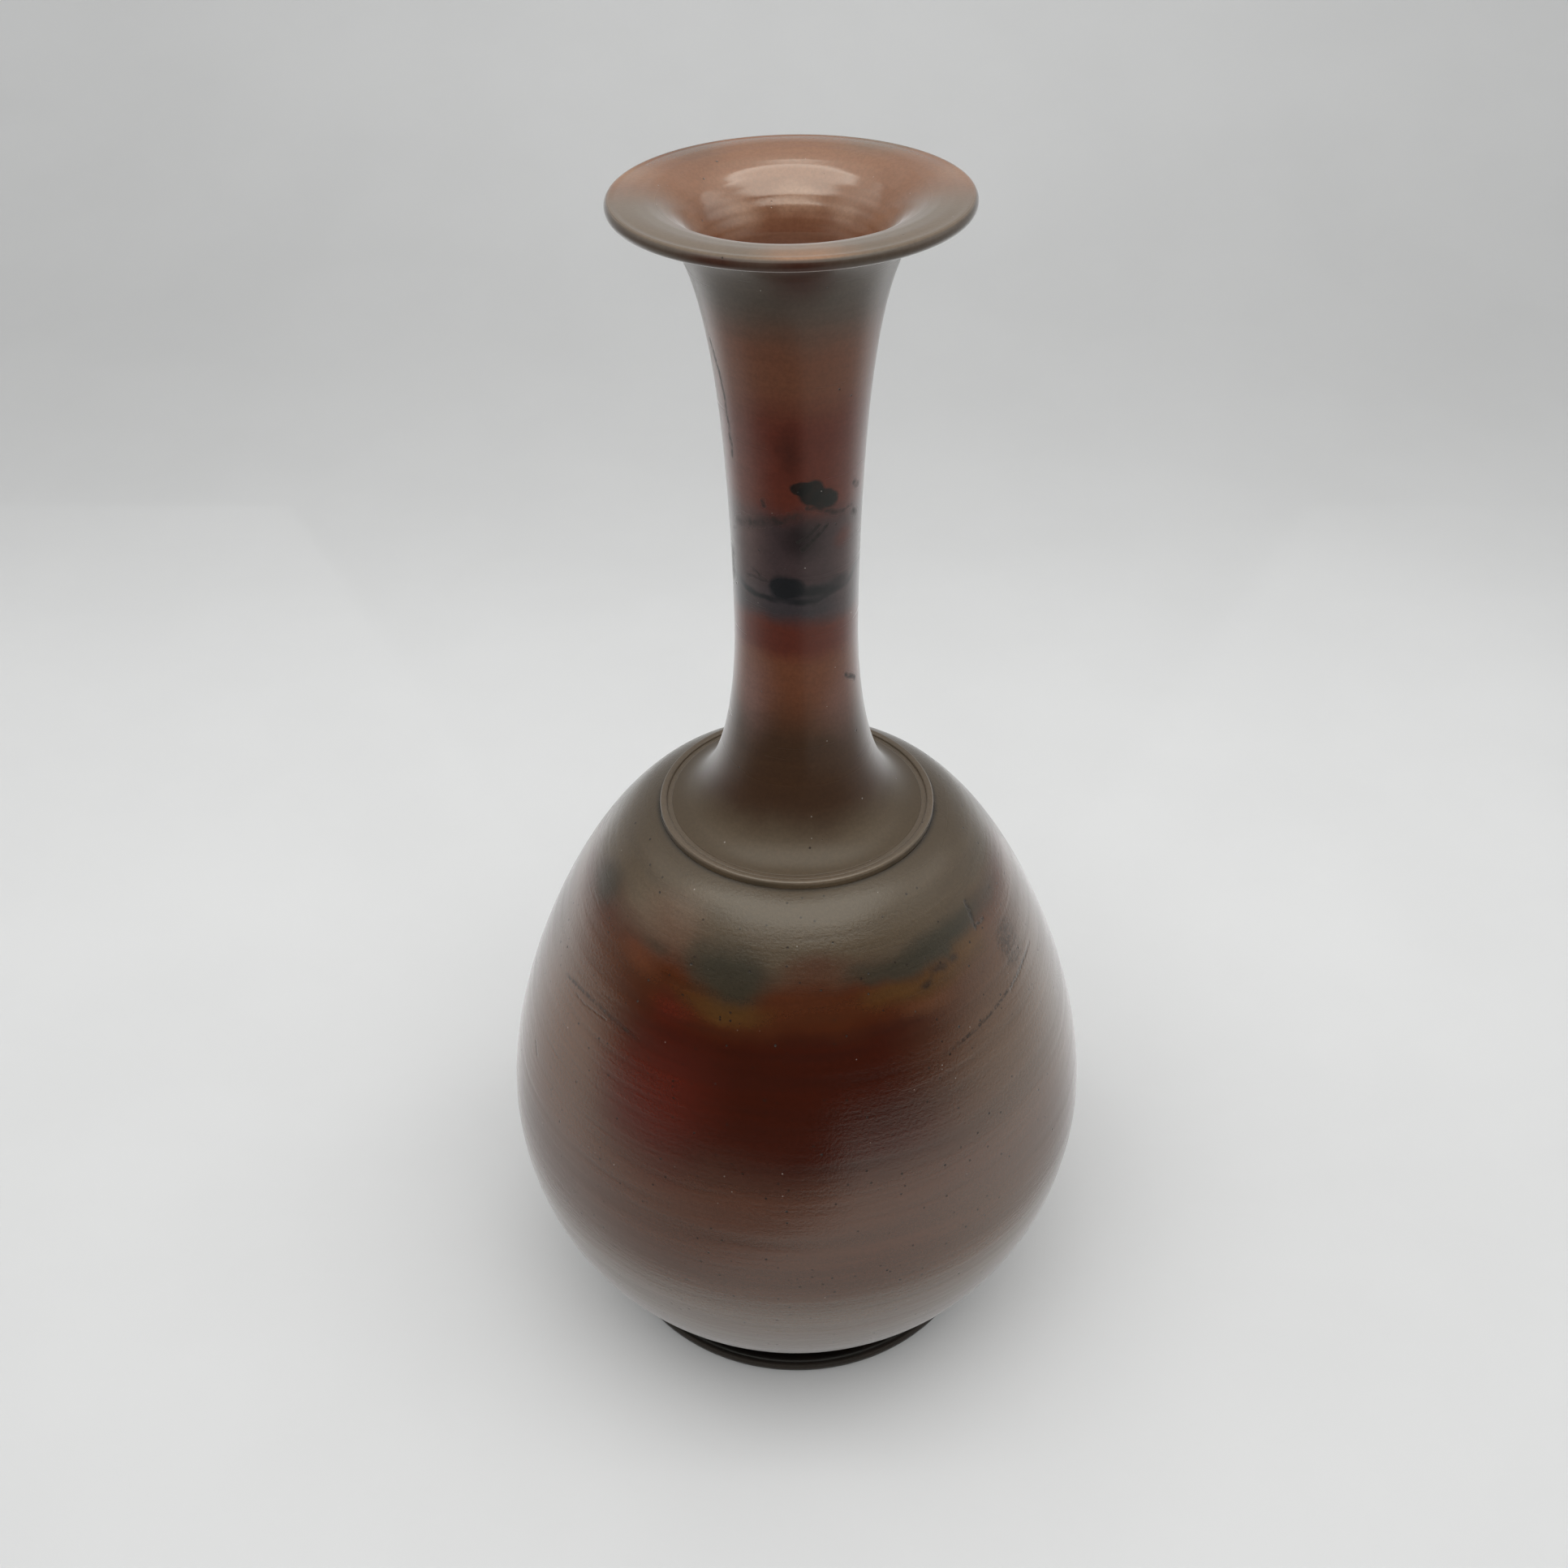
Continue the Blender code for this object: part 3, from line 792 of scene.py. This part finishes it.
def sooted_ring(point, ragged):
    """The thin, broken ring of soot that runs askew round the neck."""
    level = reckon("SUBTRACT", measure("DOT_PRODUCT", ragged, SOOT_PLANE), SOOT_HEIGHT)
    ring = fade(reckon("ABSOLUTE", level), 1.1 * MM, 0.2 * MM)
    return times(ring, fade(noise(point, 160.0, 2.0)[0], 0.3, 0.6, 0.4, 0.9))


def burnished_brown_clay(tints, profile):
    """The neck: smoked skirt, red-brown stem with a sooted ring, copper mouth."""
    material, shader = clay_finish("burnished_brown_clay", 1.9, 0.1)
    point = object_point(shader)
    broad = wander(point, 60.0, 0.0016, 5.0)
    ragged = wander(broad, 260.0, 0.0005, 6.0)
    colour = tone_by_height(ragged, tints, NECK_BANDS)
    colour = lay_clouds(colour, ragged, profile, tints, NECK_CLOUDS)
    colour = stain(colour, tints.soot, sooted_ring(point, ragged))
    crisp = wander(point, 320.0, 0.0004, 9.0)
    colour = lay_clouds(colour, crisp, profile, tints, NECK_BLOTS)
    colour, wear = lay_scratches(colour, crisp, profile, NECK_MARKS, NECK_MARK_TONE)
    inward = reckon_vector("NORMALIZE", reckon_vector("MULTIPLY", point, (-1.0, -1.0, 0.0)))
    lining = measure("DOT_PRODUCT", facing_of(point), inward)
    axes = axes_of(ragged)
    lip = stain(tints.rose_brown, tints.copper, fade(axes["Z"], 238.0 * MM, 256.0 * MM))
    lip = stain(lip, tints.khaki, fade(axes["Y"], 8.0 * MM, -10.0 * MM))
    lip = lay_clouds(lip, ragged, profile, tints, LIP_CLOUDS)
    plain = axes_of(point)
    mouth = times(fade(lining, -0.8, -0.35), fade(plain["Z"], 241.0 * MM, 246.0 * MM))
    colour = stain(colour, tints.rose_brown, fade(lining, 0.1, 0.5))
    colour = stain(colour, lip, mouth)
    front = fade(plain["Y"], 8.0 * MM, -10.0 * MM)
    smoke = place("Mix", {0: mouth, 2: 1.0, 3: front})[0]
    smoked = smoked_skin(shader, smoke, 1.42, 0.95)
    duller = fade(plain["Z"], 152.0 * MM, 140.0 * MM, 0.1, 0.22)
    finish_skin([(shader, 0.0), (smoked, duller)], colour, point, tints.dust, NECK_SKIN, wear)
    return material


def smoked_olive_clay(tints):
    """The bead: smoked clay like the shoulder beside it."""
    material, shader = clay_finish("smoked_olive_clay", 1.6, 0.2)
    point = object_point(shader)
    cloud = noise(point, 90.0, 3.0)[0]
    colour = stain(tints.olive, tints.slate, fade(cloud, 0.45, 0.75, 0.0, 0.6))
    worn = fade(axes_of(point)["Z"], SEAM_TOP - 0.9 * MM, SEAM_TOP - 0.2 * MM, 0.0, 0.5)
    colour = stain(colour, tints.khaki, worn)
    finish_skin([(shader, 0.0)], colour, point, tints.dust, BEAD_SKIN)
    return material


def dark_fired_clay(tints):
    """The foot ring: dark turned clay."""
    material, shader = clay_finish("dark_fired_clay", 1.33, 0.0)
    point = object_point(shader)
    # Painted shade: the foot ring's cove is made near black, and the bead below it stays brown.
    colour = tone_by_height(point, tints, FOOT_BANDS)
    cloud = noise(point, 70.0, 4.0)[0]
    colour = stain(colour, tints.brown_red, fade(cloud, 0.5, 0.85, 0.0, 0.15))
    finish_skin([(shader, 0.0)], colour, point, tints.dust, FOOT_SKIN)
    return material


def luting_slip(tints):
    """Slip squeezed into the joints."""
    material, shader = new_finish("luting_slip", 0.7, 1.5)
    grain = noise(object_point(shader), 900.0, 4.0)[0]
    colour = stain(tints.slip, tints.brown_red, fade(grain, 0.35, 0.7))
    bump = place("Bump", {"Height": grain, "Strength": 0.4, "Distance": 0.2 * MM})[0]
    join(shader, {"Base Color": colour, "Normal": bump})
    return material


def dress(piece, node, material):
    """Lets a piece stand for its CAD node, with its finish."""
    piece.data.materials.append(material)
    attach(piece, "root")
    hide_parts(node)


class VASE_OT_make_body(bpy.types.Operator):
    """Turn the egg-shaped body with its burnished ripples"""

    bl_idname = "vase.make_body"
    bl_label = "Make body"

    def execute(self, context):
        form = context.scene.vase_form
        profile, closed = turned_profile("body", form.step, form.edge)
        widest = np.max(profile[:, 0])

        def relief(theta, along, radius, height):
            out_of_round = form.oval * (np.cos(2.0 * theta + 0.7) - 1.0) * radius / widest
            burnish = form.ripple * (ripples(3, theta, along, 6.0 * MM) - 1.0)
            low = np.clip((TUCK_TOP - height) / TUCK_RUN, 0.0, 1.0)
            tuck = form.base_tuck * low**2 * (3.0 - 2.0 * low)
            return np.where(radius > 2.0 * MM, out_of_round + burnish - tuck, 0.0)

        piece = turn("body_skin", profile, closed, form.turns, relief)
        finish = burnished_red_clay(context.scene.vase_colours, profile)
        dress(piece, "body", finish)
        return {"FINISHED"}


class VASE_OT_make_neck(bpy.types.Operator):
    """Turn the neck with its skirt, stem and trumpet mouth"""

    bl_idname = "vase.make_neck"
    bl_label = "Make neck"

    def execute(self, context):
        form = context.scene.vase_form
        profile, closed = turned_profile("neck", form.step, form.edge)

        def relief(theta, along, radius, height):
            risen = np.clip((height - SEAM_TOP) / (10.0 * MM), 0.0, 1.0)
            burnish = form.ripple * 0.25 * (ripples(8, theta, along, 5.0 * MM) - 1.0)
            rings = form.ring_depth * (np.sin(2.0 * math.pi * along / form.ring_pitch + theta) - 1.0)
            inside = np.gradient(height[:, 0])[:, None] < 0.0
            return risen * np.where(inside, rings, burnish)

        def shift(x, y, z):
            risen = np.clip((z - SEAM_TOP) / (MOUTH_TOP - SEAM_TOP), 0.0, 1.0)
            return (x - form.lean * risen**2, y,
                    z + math.tan(form.tilt) * risen * (x - MOUTH_RADIUS))

        piece = turn("neck_skin", profile, closed, form.turns, relief, shift)
        finish = burnished_brown_clay(context.scene.vase_colours, profile)
        dress(piece, "neck", finish)
        return {"FINISHED"}


class VASE_OT_make_shoulder_bead(bpy.types.Operator):
    """Turn the bead that lies over the shoulder seam"""

    bl_idname = "vase.make_shoulder_bead"
    bl_label = "Make shoulder bead"

    def execute(self, context):
        form = context.scene.vase_form
        points, closed = meridian("shoulder_bead")
        low, high = points.min(axis=0), points.max(axis=0)
        inner, outer = low[0] - form.tuck, high[0] + form.seam
        share = np.sin(np.linspace(0.5 * math.pi, -0.5 * math.pi, BEAD_ROWS))
        fall = 1.0 - (1.0 - np.abs(share)**BEAD_FULLNESS)**(1.0 / BEAD_FULLNESS)
        radius = outer - 0.5 * form.roll * (1.0 - share)
        height = high[1] - np.where(share > 0.0, form.crown, form.crease) * fall
        sides = np.linspace(low[1], height[0], 4, endpoint=False)
        level = np.linspace(radius[-1] - 0.1 * form.roll, inner, 4)
        profile = np.concatenate([
            [(inner, low[1])],
            np.stack([np.full(4, outer), sides], axis=1),
            np.stack([radius, height], axis=1),
            np.stack([level, np.full(4, high[1] - form.flush)], axis=1)])

        def relief(theta, along, radius, height):
            return form.ripple * (ripples(12, theta, along, 4.0 * MM) - 1.0)

        piece = turn("shoulder_bead_skin", profile, closed, form.turns, relief)
        dress(piece, "shoulder_bead", smoked_olive_clay(context.scene.vase_colours))
        return {"FINISHED"}


class VASE_OT_make_foot_ring(bpy.types.Operator):
    """Turn the foot ring with its bead and cove"""

    bl_idname = "vase.make_foot_ring"
    bl_label = "Make foot ring"

    def execute(self, context):
        form = context.scene.vase_form
        profile, closed = turned_profile("foot_ring", form.step * 0.4, form.edge)
        profile[:, 1] = np.maximum(profile[:, 1], 0.0)

        def relief(theta, along, radius, height):
            raised = np.clip(height / (0.5 * MM), 0.0, 1.0)
            return raised * form.ripple * (ripples(17, theta, along, 3.0 * MM) - 1.0)

        piece = turn("foot_ring_skin", profile, closed, form.turns, relief)
        dress(piece, "foot_ring", dark_fired_clay(context.scene.vase_colours))
        return {"FINISHED"}


class VASE_OT_finish_slip(bpy.types.Operator):
    """Give the two layers of luting slip their finish"""

    bl_idname = "vase.finish_slip"
    bl_label = "Finish slip"

    def execute(self, context):
        material = luting_slip(context.scene.vase_colours)
        for node in ("foot_slip", "shoulder_slip"):
            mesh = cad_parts[node].data
            mesh.materials.clear()
            mesh.materials.append(material)
        return {"FINISHED"}


class VASE_OT_set_stage(bpy.types.Operator):
    """Set the camera, the paper sweep and the soft light"""

    bl_idname = "vase.set_stage"
    bl_label = "Set stage"

    def execute(self, context):
        scene = context.scene
        stage = scene.vase_stage
        scene.view_settings.view_transform = "Standard"
        self.lay_paper(stage)
        self.hang_cards()
        self.light(scene, stage)
        self.aim_camera(scene, stage)
        return {"FINISHED"}

    def lay_paper(self, stage):
        """The paper: a flat floor that sweeps up behind the vase."""
        bend, radius, top, side, arc = 0.34, 0.62, 1.7, 3.0, 32
        rows = [(-3.0, 0.0), (-1.0, 0.0), (-0.3, 0.0), (0.0, 0.0)]
        for k in range(arc + 1):
            a = 0.5 * math.pi * k / arc
            rows.append((bend + radius * math.sin(a), radius * (1.0 - math.cos(a))))
        rows.append((bend + radius, top))
        columns = np.linspace(-side, side, 9)
        points = [(x, y, z) for y, z in rows for x in columns]
        wide = len(columns)
        faces = [(i * wide + j, i * wide + j + 1, (i + 1) * wide + j + 1, (i + 1) * wide + j)
                 for i in range(len(rows) - 1) for j in range(wide - 1)]
        paper = new_object("paper_sweep", points, faces)
        smooth(paper.data)
        material, shader = new_finish("pale_paper", 0.75, 1.4)
        shade = fade(noise(object_point(shader), 14.0, 6.0)[0], 0.3, 0.7, 0.975, 1.0)
        axes = axes_of(object_point(shader))
        aside = reckon("ABSOLUTE", axes["X"])
        # Painted shade on the paper: darker toward the front, a darker band where the sweep bends up, lighter
        # up the backdrop and darker to the sides.
        for along, start, end, low, high in ((axes["Y"], -0.15, 0.15, 0.88, 1.0),
                                             (axes["Y"], 0.2, 0.52, 1.0, 0.80),
                                             (axes["Y"], 0.52, 0.72, 1.0, 1.10),
                                             (aside, 0.05, 0.40, 1.02, 0.93)):
            shade = times(shade, fade(along, start, end, low, high))
        join(shader, {"Base Color": scaled(tuple(stage.paper)[:3], shade)})
        paper.data.materials.append(material)

    def hang_cards(self):
        """The unlit room in front of the table, which only reflections see."""
        wall = self.strip("room_wall", 120.0, ((ROOM_REACH, 0.0), (ROOM_REACH, CEILING_HEIGHT)))
        self.glow(wall, self.wall_level)
        table = self.strip("shaded_table", 150.0, ((0.095, 0.001), (ROOM_REACH, 0.001)))
        self.glow(table, self.table_level)
        for card in (wall, table):
            card.visible_camera = False
            card.visible_diffuse = False
            card.visible_shadow = False

    def wall_level(self, axes, turned, away):
        """The walls: dark in front, a little light at the sides and above."""
        side = fade(turned, 50.0, 100.0, 0.0, 0.5)
        side = plus(side, fade(turned, -65.0, -110.0, 0.0, 0.22))
        upper = times(fade(axes["Z"], 0.35, 0.8, 0.0, 0.9),
                      fade(reckon("ABSOLUTE", turned), 30.0, 85.0))
        return plus(side, upper)

    def table_level(self, axes, turned, away):
        """The table: falling into shade toward the front and lit from the right."""
        falling = times(plus(axes["Y"], 0.03), 1.0 / 0.13)
        left = reckon("MINIMUM", times(reckon("EXPONENT", falling), 0.74), 0.64)
        left = times(left, fade(away, 0.06, 0.11, 0.7, 1.0))
        behind = plus(self.bump_at(away, 0.22, 0.36, 0.42, 0.52, 0.32), 0.26)
        left = plus(left, times(behind, fade(turned, -95.0, -125.0)))
        fading = times(reckon("SUBTRACT", 0.2, away), 1.0 / 0.27)
        fading = reckon("MULTIPLY_ADD", reckon("EXPONENT", fading), 0.6, 0.4)
        fading = times(fading, fade(away, 0.09, 0.22, 0.55, 1.0))
        right = times(fading, fade(turned, 15.0, 75.0, 0.67, 0.84))
        behind = plus(self.bump_at(away, 0.24, 0.30, 0.36, 0.45, 0.28), 0.32)
        right = plus(right, times(behind, fade(turned, 90.0, 122.0)))
        reach = {"Value": away, "From Min": 0.42, "From Max": 0.1}
        near = place("MapRange", reach)[0]
        border = times(reckon("POWER", near, 3.4), -60.0)
        beyond = reckon("SUBTRACT", turned, plus(border, 15.0))
        soft = fade(away, 0.12, 0.5, 14.0, 1.2)
        lit = fade(beyond, times(soft, -1.0), soft)
        return place("Mix", {0: lit, 2: left, 3: right})[0]

    def bump_at(self, away, start, full, wane, end, level):
        """A level that rises from start to full and wanes again to the end."""
        return times(fade(away, start, full, 0.0, level), fade(away, end, wane))

    def strip(self, name, widest, outline):
        """A strip round the vase, as far as an angle to either side of the front."""
        columns = 40
        points, faces = [], []
        for j in range(columns + 1):
            turned = math.radians(-widest + 2.0 * widest * j / columns)
            side, front = math.sin(turned), math.cos(turned)
            points.extend((away * side, -away * front, z) for away, z in outline)
        for k in range(0, 2 * columns, 2):
            faces.append((k, k + 2, k + 3, k + 1))
        return new_object(name, points, faces)

    def glowing(self, name):
        """A black material that only glows."""
        material, shader = new_finish(name, 0.9, 1.4)
        join(shader, {"Base Color": BLACK, "Emission Strength": 1.0, "Specular IOR Level": 0.0})
        return material, shader

    def glow(self, card, level):
        """Gives a card a glow that changes with its angle from the front, reach and height."""
        material, shader = self.glowing(card.name)
        axes = axes_of(object_point(shader))
        turned = reckon("ARCTAN2", axes["X"], times(axes["Y"], -1.0))
        away = reach_of(object_point(shader))
        strength = level(axes, reckon("DEGREES", turned), away)
        join(shader, {"Emission Color": strength})
        card.data.materials.append(material)

    def light(self, scene, stage):
        """The even light of the room and a softbox under the ceiling."""
        world = bpy.data.worlds.new("room")
        world.use_nodes = True
        world.node_tree.nodes["Background"].inputs["Color"].default_value = stage.sky
        scene.world = world
        wide, height = 0.9, CEILING_HEIGHT
        corners = [(-wide, -wide, height), (-wide, wide, height), (wide, wide, height), (wide, -wide, height)]
        softbox = new_object("softbox", corners, [(0, 1, 2, 3)])
        material, shader = self.glowing("softbox")
        axes = axes_of(object_point(shader))
        ceiling = fade(axes["Y"], 0.1, 0.6, stage.ceiling, 0.6 * stage.ceiling)
        panel = times(fade(axes["Y"], 0.06, 0.03), fade(axes["Y"], -0.88, -0.64))
        panel = times(panel, fade(reckon("ABSOLUTE", axes["X"]), 0.7, 0.5))
        core = fade(axes["Y"], -0.12, 0.03, stage.softbox, 1.7 * stage.softbox)
        join(shader, {"Emission Color": plus(ceiling, times(panel, core))})
        softbox.data.materials.append(material)
        softbox.visible_camera = False

    def aim_camera(self, scene, stage):
        """A camera that frames the vase, with its lens worked out for a square image."""
        lens = bpy.data.cameras.new("camera")
        lens.sensor_width = SENSOR
        lens.lens = SENSOR * stage.focal / PHOTO_SIDE
        lens.shift_x = -stage.offset / PHOTO_SIDE
        lens.clip_start = 0.01
        camera = bpy.data.objects.new("camera", lens)
        camera.location = stage.eye
        camera.rotation_euler = (0.5 * math.pi - stage.pitch, 0.0, 0.0)
        scene.collection.objects.link(camera)
        scene.camera = camera


PIECES = (VASE_OT_make_foot_ring, VASE_OT_make_body, VASE_OT_make_shoulder_bead, VASE_OT_make_neck,
          VASE_OT_finish_slip, VASE_OT_set_stage)


class VIEW3D_PT_vase(bpy.types.Panel):
    """Lists the vase's pieces, sizes and colours"""

    bl_label = "Bottle vase"
    bl_idname = "VIEW3D_PT_vase"
    bl_space_type = "VIEW_3D"
    bl_region_type = "UI"
    bl_category = "Vase"

    def draw(self, context):
        for operator in PIECES:
            self.layout.operator(operator.bl_idname)
        for group in (context.scene.vase_form, context.scene.vase_colours, context.scene.vase_stage):
            column = self.layout.column()
            for label in group.__annotations__:
                column.prop(group, label)


CLASSES = (VaseForm, ClayColours, StudioStage) + PIECES + (VIEW3D_PT_vase,)


def register():
    for item in CLASSES:
        bpy.utils.register_class(item)
    bpy.types.Scene.vase_form = PointerProperty(type=VaseForm)
    bpy.types.Scene.vase_colours = PointerProperty(type=ClayColours)
    bpy.types.Scene.vase_stage = PointerProperty(type=StudioStage)


def unregister():
    del bpy.types.Scene.vase_stage
    del bpy.types.Scene.vase_colours
    del bpy.types.Scene.vase_form
    for item in reversed(CLASSES):
        bpy.utils.unregister_class(item)


def main():
    register()
    bpy.ops.vase.make_foot_ring()
    bpy.ops.vase.make_body()
    bpy.ops.vase.make_shoulder_bead()
    bpy.ops.vase.make_neck()
    bpy.ops.vase.finish_slip()
    bpy.ops.vase.set_stage()


if __name__ == "__main__":
    main()
